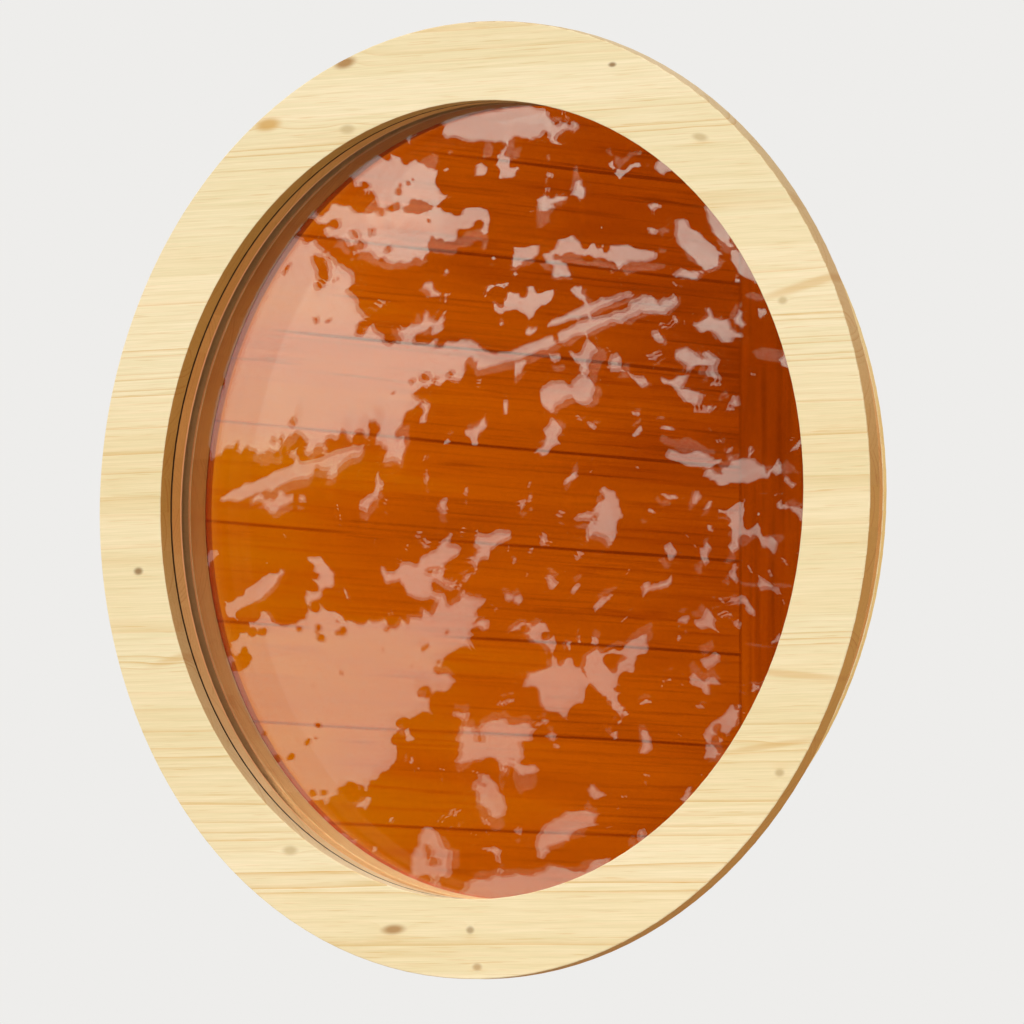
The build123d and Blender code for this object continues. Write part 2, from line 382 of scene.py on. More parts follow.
def shade_joint(tree, colour):
    """Paints dark brown shade into the wood beside the joint: from 1.5 to 0.9 mm from its middle along Y,
    and up to 5 mm outside the opening."""
    place = add(tree, "TexCoord").outputs["Object"]
    depth = add(tree, "SeparateXYZ", [place]).outputs["Y"]
    from_joint = add(tree, "Math", [depth, JOINT_MIDDLE], operation="SUBTRACT")
    off_joint = add(tree, "Math", [from_joint], operation="ABSOLUTE")
    beside = add(tree, "MapRange", [off_joint, 1.5 * MM, 0.9 * MM])
    flat = add(tree, "VectorMath", [place, (1, 0, 1)], operation="MULTIPLY")
    out = add(tree, "VectorMath", [flat], operation="LENGTH")
    shown = add(tree, "MapRange", [out, OPENING_RADIUS + 5 * MM, OPENING_RADIUS + 4 * MM])
    # Painted shade: dark brown laid on the wood beside the joint
    painted_shade = add(tree, "Math", [beside, shown], operation="MULTIPLY")
    return add(tree, "Mix", {0: painted_shade, 6: colour, 7: linear("#4a2f18")}, data_type="RGBA")


# %% [markdown]
# ## Spruce panel
#
# The trim ring is cut from one sheet of edge-glued spruce, planed, sanded and oiled clear. Spruce is
# nearly white with thin honey lines, small brown pin knots and a silky, low gloss. A seed could scatter
# the knots, but knots are what the eye knows a panel by, so they are listed one by one, each with its
# place, its size and its stain. The long faint ones are grain that rose round a knot just under the face.

# %% Knots of the trim ring
BROWN_KNOT, HONEY_KNOT, DARK_KNOT, FAINT_KNOT = "#a8722c", "#d6a34f", "#8a6230", "#cfb583"

# Place along and up in mm, half length, half height, tilt in degrees, stain, strength
TRIM_KNOTS = [
    (-150, 410, 14, 6, 8, BROWN_KNOT, 0.85),
    (-240, 357, 17, 7, 5, HONEY_KNOT, 0.80),
    (-147, 348, 10, 5, 0, FAINT_KNOT, 0.75),
    (156, 392, 5, 2.6, 0, DARK_KNOT, 0.85),
    (254, 321, 10, 4, -10, FAINT_KNOT, 0.80),
    (-393, -56, 6, 4, 0, DARK_KNOT, 0.85),
    (345, 169, 6, 4, 0, FAINT_KNOT, 0.80),
    (341, -256, 6, 4, 0, FAINT_KNOT, 0.95),
    (-213, -320, 10, 5, 0, FAINT_KNOT, 0.80),
    (-50, -360, 9, 5, 0, FAINT_KNOT, 0.70),
    (-93, -394, 15, 5, 3, BROWN_KNOT, 0.80),
    (-5, -395, 5, 4, 0, DARK_KNOT, 0.60),
    (3, -429, 6, 4, 0, BROWN_KNOT, 0.55),
    (375, 183, 70, 5, 12, HONEY_KNOT, 0.45),
    (355, -168, 72, 4, -5, HONEY_KNOT, 0.45),
    (327, -232, 66, 3.5, 6, HONEY_KNOT, 0.40),
    (-341, -138, 46, 5, 12, HONEY_KNOT, 0.35),
]
print("knots and risen grain:", len(TRIM_KNOTS))

# %% Dress the trim ring
spruce, tree, shader = new_material("spruce_panel_oiled", IOR=1.46)
colour, fibre, sawn = lay_wood(tree, strip_mm=36, ring_mm=5.2, pale=("#f9e7bf", "#f6e1b4"),
                               late="#e2b468", end_tint="#c09450", seed=3.7, contrast=1.0,
                               knots=TRIM_KNOTS)
feed(tree, shader, Base_Color=shade_joint(tree, colour),
     Roughness=add(tree, "MapRange", [sawn, 0.0, 1.0, 0.48, 0.62]),
     Normal=add(tree, "Bump", {"Height": fibre, "Strength": 0.25, "Distance": 0.0002}))
dress(spruce, "outer_trim_ring")

# %% [markdown]
# ## Pine frame
#
# The three rings of the frame and the bead are pine, which is redder than spruce and has stronger late
# wood. It has the same oil as the trim. The bead is cut from a paler board. Each could be written out
# as a material of its own, but only their colours and seeds differ, so a loop dresses both.

# %% Dress the frame rings and the bead
# Finish, two pale colours, late wood, tint of sawn edges, seed, pieces
PINES = [
    ("pine_frame_oiled", ("#f3d8a8", "#eecd98"), "#cf9454", "#dcac70", 8.3,
     ["outer_stop_ring", "glazing_ring", "inner_stop_ring"]),
    ("pine_bead_oiled", ("#fbeac4", "#f7e2b4"), "#dcaa66", "#f0d8a8", 5.1, ["glazing_bead"]),
]
for finish, pale, late, end_tint, seed, node_names in PINES:
    pine, tree, shader = new_material(finish, IOR=1.46)
    colour, fibre, sawn = lay_wood(tree, strip_mm=44, ring_mm=3.8, pale=pale, late=late,
                                   end_tint=end_tint, seed=seed, contrast=0.85)
    feed(tree, shader, Base_Color=shade_joint(tree, colour),
         Roughness=add(tree, "MapRange", [sawn, 0.0, 1.0, 0.50, 0.65]),
         Normal=add(tree, "Bump", {"Height": fibre, "Strength": 0.3, "Distance": 0.0002}))
    dress(pine, *node_names)

# %% [markdown]
# ## Clear glass
#
# The sealed unit has two panes of clear float glass. Real panes are never perfectly flat: the rollers
# and the trapped air leave them slowly waved, and that bends what they mirror. The wave could be cut
# into the meshes, but it is a small part of a millimetre high, so a bump does. A ray of a lamp would
# be stopped by a refracting solid, so for shadow rays the glass is a plain see-through filter instead.

# %% A function that lets lamps through
def let_lamps_through(tree, shader, tint):
    """Mixes the glass with a clear filter of the given tint, which only shadow rays meet."""
    clear = add(tree, "BsdfTransparent", [tint])
    both = add(tree, "MixShader", [add(tree, "LightPath").outputs["Is Shadow Ray"], shader, clear])
    output = next(node for node in tree.nodes if node.bl_idname == "ShaderNodeOutputMaterial")
    tree.links.new(both.outputs[0], output.inputs["Surface"])


# %% [markdown]
# The cut edge of a pane is ground, so it is matt and shows the green of the iron in the glass. It lies
# deep in the frame and could be left clear, but it is seen when the unit is looked at by itself.

# %% Clear float glass
PANE_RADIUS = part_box("outer_glass_pane")[1][0]

float_glass, tree, shader = new_material("float_glass_clear", IOR=1.52, Transmission_Weight=1.0)
place = add(tree, "TexCoord").outputs["Object"]
flat = add(tree, "VectorMath", [place, (1, 0, 1)], operation="MULTIPLY")
from_axis = add(tree, "VectorMath", [flat], operation="LENGTH")
ground = add(tree, "MapRange", [from_axis, PANE_RADIUS - 0.9 * MM, PANE_RADIUS - 0.5 * MM])
roller_wave = streaks(tree, place, 310, 310, detail=1.0, roughness=0.3)
feed(tree, shader,
     Base_Color=add(tree, "Mix", {0: ground, 6: linear("#fbfdfa"), 7: linear("#b8d8c6")},
                    data_type="RGBA"),
     Roughness=add(tree, "MapRange", [ground, 0.0, 1.0, 0.0, 0.45]),
     Normal=add(tree, "Bump", {"Height": roller_wave, "Strength": 0.3, "Distance": 0.0005}))
let_lamps_through(tree, shader, linear("#fafcfa"))
dress(float_glass, "outer_glass_pane", "inner_glass_pane")

# %% [markdown]
# ## Orange rolled glass
#
# The sheet at the room end is orange glass, coloured all through and drawn while it was soft. So its
# colour lies in long streaks that fan out a little: paler where the sheet is thin, red-brown where it
# is dense. Along its right side the sheet ran against the guide of the table: past that line the
# streaks stand upright. A plain orange filter would look like plastic film, so the streaks are worth
# their nodes.

# %% Where each streak was drawn
GUIDE_LINE = 0.249
FAN_SLOPE = 0.0955
FAN_SPREAD = 0.151

rolled, tree, shader = new_material("orange_rolled_glass", roughness=0.0, IOR=1.52,
                                    Transmission_Weight=1.0)
x, y, z = add(tree, "SeparateXYZ", [add(tree, "TexCoord").outputs["Object"]]).outputs

# Height at which a streak left the rollers: (z + slope x) / (1 - spread x), a fan that opens to the left
fallen = add(tree, "Math", [x, FAN_SLOPE, z], operation="MULTIPLY_ADD")
spread = add(tree, "Math", [x, -FAN_SPREAD, 1.0], operation="MULTIPLY_ADD")
level = add(tree, "Math", [fallen, spread], operation="DIVIDE")
past_guide = add(tree, "Math", [x, GUIDE_LINE], operation="GREATER_THAN")
drawn = add(tree, "Mix", {0: past_guide, 4: add(tree, "CombineXYZ", [x, 0.0, level]),
                          5: add(tree, "CombineXYZ", [z, 0.0, x])}, data_type="VECTOR")
print("guide line:", round(GUIDE_LINE / MM), "mm to the right of the axis")

# %% [markdown]
# At even distances a fold of dense glass was drawn out to a thin dark ream, which wanders by a few
# millimetres and fades in and out. The ream could be a texture of waves, but folding the height back
# and forth gives its real spacing and lets its width be set by itself.

# %% Reams and the mark of the guide
REAM_SPACING_MM = 88.0
REAM_OFFSET_MM = 49.0
REAM_WANDER_MM = 5
REAM_HALF_WIDTH_MM = 2.4
REAM_CORE_MM = 0.2
GUIDE_MARK_MM = 0.9

slow_wave = streaks(tree, drawn, 500, 200, detail=1.0)
wander = add(tree, "MapRange", [slow_wave, 0.0, 1.0, -REAM_WANDER_MM * MM, REAM_WANDER_MM * MM])
wandered = add(tree, "Math", [level, wander], operation="ADD")
shifted = add(tree, "Math", [wandered, REAM_OFFSET_MM * MM], operation="SUBTRACT")
ream_cell = add(tree, "Math", [shifted, REAM_SPACING_MM / 2 * MM], operation="PINGPONG")
ream = add(tree, "MapRange", [ream_cell, REAM_HALF_WIDTH_MM * MM, REAM_CORE_MM * MM],
           interpolation_type="SMOOTHSTEP")
patches = streaks(tree, drawn, 260, 45, shift=2.0)
fade = add(tree, "MapRange", [patches, 0.34, 0.56], interpolation_type="SMOOTHSTEP")
faded = add(tree, "Math", [ream, fade], operation="MULTIPLY")
before_guide = add(tree, "Math", [1.0, past_guide], operation="SUBTRACT")
ream_depth = add(tree, "Math", [faded, before_guide], operation="MULTIPLY")
guide_mark = add(tree, "Math", [x, GUIDE_LINE, GUIDE_MARK_MM * MM], operation="COMPARE")
print("reams every", REAM_SPACING_MM, "mm")

# %% [markdown]
# The colour of the sheet darkens from its lower left to its upper right. On that slow climb each kind
# of streak adds its own share, and a ramp turns the sum from orange to red-brown.

# %% Dress the orange sheet
# The climb is the place to the right plus a share of the height, in metres
HEIGHT_SHARE = 0.4
PALE_CLIMB = -0.40
DARK_CLIMB = 0.38

clouds = streaks(tree, drawn, 450, 60, detail=4.0, roughness=0.55)
threads = streaks(tree, drawn, 240, 3.6, detail=4.0, roughness=0.6)
swirls = streaks(tree, drawn, 220, 13, detail=3.0, roughness=0.6, shift=4.0)

climb = add(tree, "Math", [z, HEIGHT_SHARE, x], operation="MULTIPLY_ADD")
darkness = add(tree, "MapRange", [climb, PALE_CLIMB, DARK_CLIMB, 0.0, 0.82])
# What adds, the values between which it grows, and the most that it adds
for share, low, high, most in [(clouds, 0.40, 0.72, 0.30), (threads, 0.50, 0.78, 0.26),
                               (swirls, 0.60, 0.82, 0.42), (ream_depth, 0.0, 1.0, 0.45),
                               (guide_mark, 0.0, 1.0, 0.3)]:
    grown = add(tree, "MapRange", [share, low, high, 0.0, most])
    darkness = add(tree, "Math", [darkness, grown], operation="ADD")
tint = add(tree, "ValToRGB", [darkness])
stops = tint.color_ramp.elements
stops[0].position, stops[0].color = 0.0, linear("#f48600")
stops[1].position, stops[1].color = 1.0, linear("#9c3400")
for position, hue in [(0.42, "#e56500"), (0.78, "#bf4800")]:
    stops.new(position).color = linear(hue)

feed(tree, shader, Base_Color=tint,
     Normal=add(tree, "Bump", {"Height": slow_wave, "Strength": 0.3, "Distance": 0.001}))
let_lamps_through(tree, shader, linear("#dc6002"))
dress(rolled, "tinted_sheet")

# %% [markdown]
# ## Inside the sealed unit
#
# The panes are held apart by a hollow bar of bronze anodised aluminium, rolled to a ring. Its finish is
# satin, with fine lines along the bar from the rolls, and a row of slits lets the drying beads inside
# it breathe. The slits could be cut into the mesh, but they are small enough to be drawn as dark marks,
# which are painted shade inside the slits.

# %% Dress the spacer bar
BAR_INNER_RADIUS = 0.3745
SLIT_PITCH_MM = 3.0
SLIT_LENGTH_MM = 1.4
SLIT_WIDTH_MM = 0.35

bar_low, bar_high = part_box("spacer_bar")
bar_middle = (bar_low[1] + bar_high[1]) / 2

anodised, tree, shader = new_material("bronze_anodised_bar", Metallic=1.0)
x, y, z = add(tree, "SeparateXYZ", [add(tree, "TexCoord").outputs["Object"]]).outputs
out = add(tree, "VectorMath", [add(tree, "CombineXYZ", [x, 0.0, z])], operation="LENGTH")
roll_lines = streaks(tree, add(tree, "CombineXYZ", [0.0, y, out]), 100, 0.25, detail=2.0)

# Slits: a mark of painted shade in every pitch of the arc, near the middle of the face that looks at
# the air space
around = add(tree, "Math", [z, x], operation="ARCTAN2")
arc = add(tree, "Math", [around, BAR_INNER_RADIUS], operation="MULTIPLY")
along_slit = add(tree, "Math", [arc, SLIT_PITCH_MM / 2 * MM], operation="PINGPONG")
in_length = add(tree, "Math", [along_slit, SLIT_LENGTH_MM / 2 * MM], operation="LESS_THAN")
in_width = add(tree, "Math", [y, bar_middle, SLIT_WIDTH_MM / 2 * MM], operation="COMPARE")
in_both = add(tree, "Math", [in_length, in_width], operation="MULTIPLY")
on_face = add(tree, "Math", [out, BAR_INNER_RADIUS + 0.1 * MM], operation="LESS_THAN")
slit_shade = add(tree, "Math", [in_both, on_face], operation="MULTIPLY")
feed(tree, shader,
     Base_Color=add(tree, "Mix", {0: slit_shade, 6: linear("#8d6b4c"), 7: linear("#1d1713")},
                    data_type="RGBA"),
     Roughness=add(tree, "MapRange", [roll_lines, 0.3, 0.7, 0.28, 0.42]),
     Normal=add(tree, "Bump", {"Height": roll_lines, "Strength": 0.15, "Distance": 0.0001}))
dress(anodised, "spacer_bar")

# %% [markdown]
# A pressed steel key, zinc plated, joins the two ends of the bar. Zinc grows in flat crystals, here
# about 2 mm across, and each mirrors the light a little differently. A pattern of cells has one cell
# for each crystal, which smooth noise hasn't, so each gets a tone and a gloss of its own.

# %% Dress the key of the bar
CRYSTAL_MM = 2

zinc, tree, shader = new_material("zinc_plated_key", Metallic=1.0)
place = add(tree, "TexCoord").outputs["Object"]
crystals = add(tree, "TexVoronoi", {"Vector": place, "Scale": 1 / (CRYSTAL_MM * MM)})
own = add(tree, "SeparateColor", [crystals.outputs["Color"]])
feed(tree, shader,
     Base_Color=add(tree, "Mix", {0: own.outputs[0], 6: linear("#b9bcbb"), 7: linear("#d9dbd8")},
                    data_type="RGBA"),
     Roughness=add(tree, "MapRange", [own.outputs[1], 0.0, 1.0, 0.26, 0.42]))
dress(zinc, "spacer_key")

# %% [markdown]
# The bar is filled with drying beads, round grains of about a millimetre with the colour of clay. They
# could be thousands of small balls, but nobody sees them in a closed bar. A cell pattern is a quick way
# to pack beads, because each cell has one centre to swell around.

# %% Dress the drying beads
BEAD_MM = 1.1

beads, tree, shader = new_material("drying_beads", roughness=0.85)
bead = add(tree, "TexVoronoi", {"Vector": add(tree, "TexCoord").outputs["Object"],
                                "Scale": 1 / (BEAD_MM * MM), "Randomness": 0.6})
shade = add(tree, "SeparateColor", [bead.outputs["Color"]])
swelling = add(tree, "MapRange", [bead.outputs["Distance"], 0.0, 0.6, 1.0, 0.0],
               interpolation_type="SMOOTHSTEP")
feed(tree, shader,
     Base_Color=add(tree, "Mix", {0: shade, 6: linear("#cdb995"), 7: linear("#dccdb2")},
                    data_type="RGBA"),
     Normal=add(tree, "Bump", {"Height": swelling, "Strength": 1.0, "Distance": 0.0005}))
dress(beads, "desiccant")

# %% [markdown]
# Two lines of black butyl seal the bar to the panes, and a black two-part sealant fills the channel
# outside it. Both could be one plain black, but butyl is pressed flat while warm and stays a little
# uneven, and the sealant is drawn smooth with a knife, so each has lumps and a gloss of its own.

# %% Dress the seals
# Finish, piece, colour, size of its lumps in mm, lowest and highest roughness
SEALANTS = [
    ("butyl_black", "butyl_seals", "#19191b", 2.5, 0.42, 0.62),
    ("edge_sealant_black", "edge_sealant", "#252527", 9.0, 0.45, 0.55),
]
for finish, node_name, hue, lump_mm, low, high in SEALANTS:
    sealant, tree, shader = new_material(finish, Base_Color=linear(hue))
    lumps = streaks(tree, add(tree, "TexCoord").outputs["Object"], lump_mm, lump_mm)
    feed(tree, shader, Roughness=add(tree, "MapRange", [lumps, 0.3, 0.7, low, high]),
         Normal=add(tree, "Bump", {"Height": lumps, "Strength": 0.4, "Distance": 0.0003}))
    dress(sealant, node_name)

# %% [markdown]
# ## Tapes, blocks and screws
#
# The unit and the sheet lie on closed-cell foam tapes in the colour of the wood. The cells are half a
# millimetre across. They could be left out, but a smooth tape looks like hard plastic, so they are
# drawn at twice their size to show at all.

# %% Dress the tapes
CELL_DRAWN_MM = 1.0

foam, tree, shader = new_material("foam_tape_tan", roughness=0.9)
cell = add(tree, "TexVoronoi", {"Vector": add(tree, "TexCoord").outputs["Object"],
                                "Scale": 1 / (CELL_DRAWN_MM * MM)}).outputs["Distance"]
feed(tree, shader,
     Base_Color=add(tree, "Mix", {0: cell, 6: linear("#f6b67c"), 7: linear("#e8a062")},
                    data_type="RGBA"),
     Normal=add(tree, "Bump", {"Height": cell, "Strength": 0.5, "Distance": 0.0004}, invert=True))
dress(foam, "outer_glazing_tape", "inner_glazing_tape", "sheet_tape")

# %% [markdown]
# The unit stands on moulded polypropylene blocks, and others keep it from the frame at the sides and
# above. The mould leaves a fine even grain, and the melt flows in pale and dark drifts. Both are too
# shallow for the mesh, so noise in two sizes draws them.

# %% Dress the blocks
packer, tree, shader = new_material("polypropylene_blue")
place = add(tree, "TexCoord").outputs["Object"]
mould_grain = streaks(tree, place, 0.6, 0.6, detail=1.0)
flow = streaks(tree, place, 18, 6)
feed(tree, shader,
     Base_Color=add(tree, "Mix", {0: flow, 6: linear("#3a6d9c"), 7: linear("#457cae")},
                    data_type="RGBA"),
     Roughness=add(tree, "MapRange", [flow, 0.3, 0.7, 0.38, 0.48]),
     Normal=add(tree, "Bump", {"Height": mould_grain, "Strength": 0.2, "Distance": 0.0001}))
dress(packer, "setting_blocks", "location_blocks")

# %% [markdown]
# The screws are steel, zinc plated and yellow passivated: the film is thin enough to play between
# brass, green and rose. The shader could work out a thin film from its thickness, but a ramp over
# slow noise keeps the colours near brass from every side.

# %% Dress the screws
yellow_zinc, tree, shader = new_material("yellow_zinc_screws", Metallic=1.0)
film = streaks(tree, add(tree, "TexCoord").outputs["Object"], 3.0, 3.0, detail=2.0)
film_colour = add(tree, "ValToRGB", [film])
stops = film_colour.color_ramp.elements
stops[0].position, stops[0].color = 0.35, linear("#cfc06a")
stops[1].position, stops[1].color = 0.65, linear("#dca183")
stops.new(0.5).color = linear("#dcb660")
feed(tree, shader, Base_Color=film_colour,
     Roughness=add(tree, "MapRange", [film, 0.3, 0.7, 0.24, 0.36]))
dress(yellow_zinc, "trim_screws", "frame_screws", "bead_screws")

# %% [markdown]
# ## Threads of the screws
#
# The solid screws have plain cylinders where the thread is. The thread is a sharp ridge that winds
# round the core and fades out at both ends. It could be a swept curve with a profile, but a ridge is
# only three lines that wind side by side, so it is quicker to work out the lines as whole arrays: angle
# and advance along the screw, one radius for the two roots and one for the crest.

# %% Work out the threads
CORE_RADIUS = 0.0014
CREST_RADIUS = 0.0020
ROOT_SINK = 0.1 * MM
THREAD_PITCH = 0.0018
STEPS_PER_TURN = 18
FADE_STEEPNESS = 6


def thread_surface(near, far):
    """Ridge on the core from near to far along Y: three helices with radius (root, crest, root) at
    (-0.3, 0, 0.3) of a pitch, where the crest sinks to the root as the sine of the share of the way,
    steepened, goes to 0 at both ends."""
    steps = int(abs(far - near) / THREAD_PITCH * STEPS_PER_TURN)
    share = np.linspace(0, 1, steps)[:, None]
    angle = share * steps / STEPS_PER_TURN * 2 * pi
    height = np.clip(np.sin(share * pi) * FADE_STEEPNESS, 0, 1)
    root = CORE_RADIUS - ROOT_SINK
    side = np.full_like(share, root)
    radius = np.hstack([side, root + (CREST_RADIUS - root) * height, side])
    advance = near + (far - near) * share + np.array([[-0.3, 0.0, 0.3]]) * THREAD_PITCH
    points = np.stack([radius * np.cos(angle), advance, radius * np.sin(angle)], axis=-1).reshape(-1, 3)
    first = np.arange(steps - 1)[:, None] * 3 + np.arange(3)[None, :]
    second = np.arange(steps - 1)[:, None] * 3 + (np.arange(3)[None, :] + 1) % 3
    quads = np.stack([first, second, second + 3, first + 3], axis=-1).reshape(-1, 4)
    return points, quads, [(2, 1, 0), tuple(3 * (steps - 1) + np.arange(3))]


# %% Cut the threads
SCREW_COUNT = 12
SCREW_STEP = 360 / SCREW_COUNT
SCREW_HEAD_RADIUS = 0.0043
TIP_LENGTH = 0.0014


def cut_threads(node_name, joint, first_angle):
    """Copies the ridge round the circle of the screws of a node, from the joint plane to their tips."""
    low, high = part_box(node_name)
    circle = (high[0] - SCREW_HEAD_RADIUS) / cos(radians(first_angle))
    points, quads, caps = thread_surface(joint, low[1] + TIP_LENGTH)
    angles = radians(first_angle) + np.arange(SCREW_COUNT) * 2 * pi / SCREW_COUNT
    level = np.zeros(SCREW_COUNT)
    centres = np.stack([circle * np.cos(angles), level, circle * np.sin(angles)], axis=-1)
    vertices = (centres[:, None, :] + points[None, :, :]).reshape(-1, 3)
    faces = []
    for screw in range(SCREW_COUNT):
        shift = screw * len(points)
        faces += (quads + shift).tolist() + [[int(corner) + shift for corner in cap] for cap in caps]
    mesh = bpy.data.meshes.new(node_name + "_thread")
    mesh.from_pydata(vertices.tolist(), [], faces)
    mesh.materials.append(yellow_zinc)
    piece = bpy.data.objects.new(node_name + "_thread", mesh)
    scene.collection.objects.link(piece)
    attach(piece, "root")
    print(piece.name, "faces:", len(faces), "circle:", round(circle, 4))


cut_threads("trim_screws", joint=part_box("outer_trim_ring")[1][1], first_angle=SCREW_STEP / 2)
cut_threads("frame_screws", joint=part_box("outer_stop_ring")[1][1], first_angle=0)
cut_threads("bead_screws", joint=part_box("inner_stop_ring")[1][1], first_angle=SCREW_STEP / 2)

# %% [markdown]
# ## Floor
#
# A pale floor lies just under the window and catches its shadow. A curved backdrop could hide where it
# ends, but from low down its far edge lies level with the horizon, so a flat sheet is enough.

# %% Floor
FLOOR_DROP = 0.08
FLOOR_HALF_SIDE = 14.0

floor_height = cad_box[0][2] - FLOOR_DROP
corners = [(-FLOOR_HALF_SIDE, -FLOOR_HALF_SIDE), (FLOOR_HALF_SIDE, -FLOOR_HALF_SIDE),
           (FLOOR_HALF_SIDE, FLOOR_HALF_SIDE), (-FLOOR_HALF_SIDE, FLOOR_HALF_SIDE)]
floor_mesh = bpy.data.meshes.new("floor")
floor_mesh.from_pydata([(east, north, floor_height) for east, north in corners], [], [(0, 1, 2, 3)])
floor = bpy.data.objects.new("floor", floor_mesh)
scene.collection.objects.link(floor)
pale_floor, tree, shader = new_material("pale_floor", roughness=0.85, Base_Color=linear("#e2e0dc"))
floor_mesh.materials.append(pale_floor)
print("floor at", round(floor_height, 3), "m")

# %% [markdown]
# ## Lamps
#
# The light is that of a plain studio: a broad key from the upper left in front, which draws the shadow
# of the trim into the reveal, a softer fill from the right, and a weak lamp from behind on the right,
# which sends some orange light into the reveal. Area lamps would fall off across the window, and sun
# lamps light it the same everywhere.

# %% Lamps
def sun(name, strength, azimuth, elevation, spread):
    """Lamp of parallel light that comes from an azimuth and elevation in degrees, as wide as its spread."""
    lamp = bpy.data.lights.new(name, "SUN")
    lamp.energy = strength
    lamp.angle = radians(spread)
    holder = bpy.data.objects.new(name, lamp)
    level = cos(radians(elevation))
    towards = Vector((sin(radians(azimuth)) * level, -cos(radians(azimuth)) * level, sin(radians(elevation))))
    holder.rotation_euler = towards.to_track_quat("Z", "Y").to_euler()
    scene.collection.objects.link(holder)
    print(name, "lamp of strength", strength, "from azimuth", azimuth)


sun("key", 1.8, azimuth=-42, elevation=42, spread=9)
sun("fill", 1.1, azimuth=62, elevation=18, spread=60)
sun("back", 0.35, azimuth=125, elevation=20, spread=40)

# %% [markdown]
# ## What the glass mirrors
#
# Orange glass looks orange only where it mirrors something dark. So what stands opposite the camera is a
# dark board with ragged gaps, of the kind that breaks a studio's light into patches, and the glass shows
# the gaps as pale patches. The board could be a mesh, but a world is endlessly far away, and then both
# panes mirror it at the same place. A direction is turned into a place on the board by its parts to the
# right and up of the mirrored view, in picture widths.

# %% Directions as places on the board
world = bpy.data.worlds.new("studio")
scene.world = world
world.use_nodes = True
tree = world.node_tree
tree.nodes.clear()
direction = add(tree, "TexCoord").outputs["Generated"]

aim = (CAMERA_AIM - CAMERA_PLACE).normalized()
right = aim.cross(Vector((0, 0, 1))).normalized()
up = right.cross(aim)
widths = CAMERA_LENS_MM / camera_data.sensor_width
# The panes stand square to Y, so what they mirror has its Y turned round
mirror = Vector((1, -1, 1))
parts = [add(tree, "VectorMath", [direction, tuple(axis * mirror * widths)], operation="DOT_PRODUCT")
         for axis in (right, up)]
board = add(tree, "CombineXYZ", parts)
print("the picture is", round(1 / widths, 4), "wide, measured at a distance of one")

# %% [markdown]
# The gaps are ovals, listed one by one: a few large ones on the left, where the glass shows broad pale
# patches, and small tilted ones towards the right.

# %% Ovals of the gaps
# Middle across and up, half length and half height in hundredths of the picture, tilt in degrees, weight
GAPS = [
    (-24.5, 18.5, 7.2, 7.0, 0, 0.46), (-20.0, 12.0, 11.0, 3.8, 10, 0.44), (-10.5, 14.2, 6.0, 1.6, 8, 0.42),
    (-21.5, 4.2, 6.5, 0.5, 22, 0.38), (-19.5, -17.5, 10.5, 5.2, 12, 0.46), (-9.0, -12.8, 6.0, 2.6, 25, 0.42),
    (-16.5, -23.0, 6.0, 3.0, 30, 0.42), (-11.5, 32.5, 4.0, 2.0, -10, 0.34), (-10.5, 26.8, 4.5, 2.2, 12, 0.36),
    (-16.0, 27.5, 3.0, 1.6, 0, 0.32), (-1.2, 38.2, 4.6, 1.3, 0, 0.46), (9.5, 25.2, 5.0, 0.7, -8, 0.36),
    (18.3, 26.0, 2.8, 0.9, -58, 0.34), (20.6, 28.0, 1.8, 0.6, -60, 0.32), (22.6, 24.2, 1.2, 0.6, -50, 0.30),
    (4.0, 16.4, 7.5, 0.45, 19, 0.42), (7.2, 19.2, 5.0, 0.30, 19, 0.38), (14.0, 19.8, 2.0, 0.8, 15, 0.34),
    (4.6, 11.0, 1.3, 0.9, 0, 0.30), (7.4, 11.2, 0.9, 1.0, 20, 0.30), (17.5, 5.2, 2.2, 0.6, -10, 0.34),
    (22.0, 3.6, 3.4, 0.8, 8, 0.31), (-8.2, -4.2, 3.6, 0.6, 24, 0.34), (-1.8, -2.0, 1.4, 0.6, 10, 0.30),
    (-9.4, -6.6, 1.2, 1.4, 0, 0.30), (4.8, -17.2, 1.8, 2.0, 0, 0.32), (8.8, -16.4, 0.9, 2.2, 30, 0.34),
    (-1.0, -22.4, 3.4, 1.7, 14, 0.36), (-1.8, -27.5, 0.9, 2.4, 28, 0.34), (-7.6, -33.4, 1.8, 2.2, 30, 0.36),
    (5.4, -30.8, 2.0, 0.7, 30, 0.32), (1.8, -37.0, 6.5, 1.2, 10, 0.42), (11.5, -13.4, 1.8, 0.5, 10, 0.28),
    (-25.0, -7.6, 3.0, 0.6, 40, 0.34), (1.4, 20.4, 2.4, 1.2, 10, 0.30), (17.6, 15.0, 1.5, 0.6, 0, 0.28),
]

gap_share = 0.0
for across, height, half_length, half_height, tilt, weight in GAPS:
    reach = egg(tree, board, (across / 100, height / 100, 0), (half_length / 100, half_height / 100, 1),
                (0, 0, radians(tilt)))
    rim = add(tree, "MapRange", [reach, 1.7, 0.6, 0.0, weight], interpolation_type="SMOOTHSTEP")
    gap_share = add(tree, "Math", [gap_share, rim], operation="MAXIMUM")
print("gaps in the board:", len(GAPS))

# %% [markdown]
# A smooth oval would look cut out with scissors. Cells are low at their middles and high between them,
# so cells of two sizes break a rim up into lobes and tips, and two slow noises, tatters and drifts, push
# it about. The board is open where the sum of all passes one level.

# %% Ragged rims
LOBE_WIDTHS = 0.021
TIP_WIDTHS = 0.011
TATTER_WIDTHS = 0.055
DRIFT_WIDTHS = 0.16
GAP_LEVEL = 0.968
GAP_SOFTNESS = 0.015
BOARD_DARK = (0.004, 0.004, 0.003, 1.0)
GAP_LIGHT = (0.82, 1.0, 0.93)

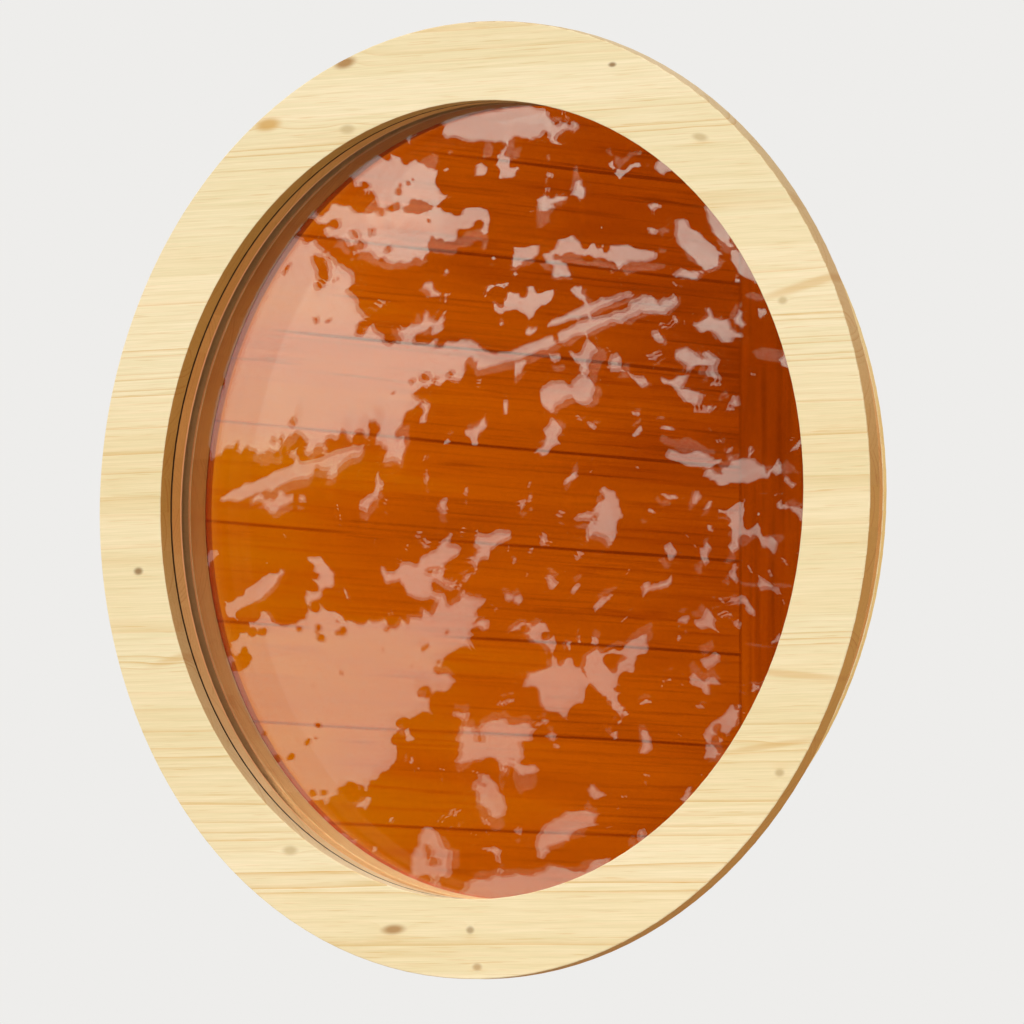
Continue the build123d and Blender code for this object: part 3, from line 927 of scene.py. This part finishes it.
lobes = add(tree, "TexVoronoi", {"Vector": board, "Scale": 1 / LOBE_WIDTHS})
tips = add(tree, "TexVoronoi", {"Vector": board, "Scale": 1 / TIP_WIDTHS})
tatters = add(tree, "TexNoise",
              {"Vector": board, "Scale": 1 / TATTER_WIDTHS, "Detail": 4.0, "Roughness": 0.6})
drifts = add(tree, "TexNoise", {"Vector": board, "Scale": 1 / DRIFT_WIDTHS, "Detail": 1.0})
openness = gap_share
for share, strength in [(lobes, 0.55), (tips, 0.28), (tatters, 0.50), (drifts, 0.25)]:
    openness = add(tree, "Math", [share, strength, openness], operation="MULTIPLY_ADD")
gap = add(tree, "MapRange", [openness, GAP_LEVEL, GAP_LEVEL + GAP_SOFTNESS],
          interpolation_type="SMOOTHSTEP")
# The light behind the gaps is stronger towards the top
gap_strength = add(tree, "MapRange", [parts[1], -0.20, 0.40, 0.92, 1.75], interpolation_type="SMOOTHSTEP")
gap_light = add(tree, "VectorMath", {0: GAP_LIGHT, 3: gap_strength}, operation="SCALE")
ragged_colour = add(tree, "Mix", {0: gap, 6: BOARD_DARK, 7: gap_light}, data_type="RGBA")
ragged = add(tree, "Background", [ragged_colour, 1.0])
print("the board opens above", GAP_LEVEL)

# %% [markdown]
# Only rays that a surface has mirrored meet the board, and only near the middle of the mirrored view.
# What is seen straight, or through the glass, is the pale room, and the soft light of the room has its
# own strength, so that the background can be pale without lighting the wood too much.

# %% Put the world together
FILL_STRENGTH = 0.42
# Degrees from the middle of the mirrored view at which the board is still whole, and at which it has ended
BOARD_FULL = 55
BOARD_END = 80

opposite = tuple(aim * mirror)
nearness = add(tree, "VectorMath", [direction, opposite], operation="DOT_PRODUCT")
covered = add(tree, "MapRange", [nearness, cos(radians(BOARD_END)), cos(radians(BOARD_FULL))])
path = add(tree, "LightPath").outputs
mirrored = add(tree, "Math", [path["Glossy Depth"], covered], operation="MULTIPLY", use_clamp=True)
pale_room = add(tree, "Background", [linear("#eeedeb"), 1.0])
backdrop = add(tree, "MixShader", [mirrored, pale_room, ragged])

looks = add(tree, "Math", [path["Is Camera Ray"], path["Is Glossy Ray"]], operation="ADD")
looks = add(tree, "Math", [looks, path["Is Transmission Ray"]], operation="ADD", use_clamp=True)
room_light = add(tree, "Background", [linear("#fffdfa"), FILL_STRENGTH])
add(tree, "OutputWorld", [add(tree, "MixShader", [looks, room_light, backdrop])])
print("nodes in the world:", len(tree.nodes))
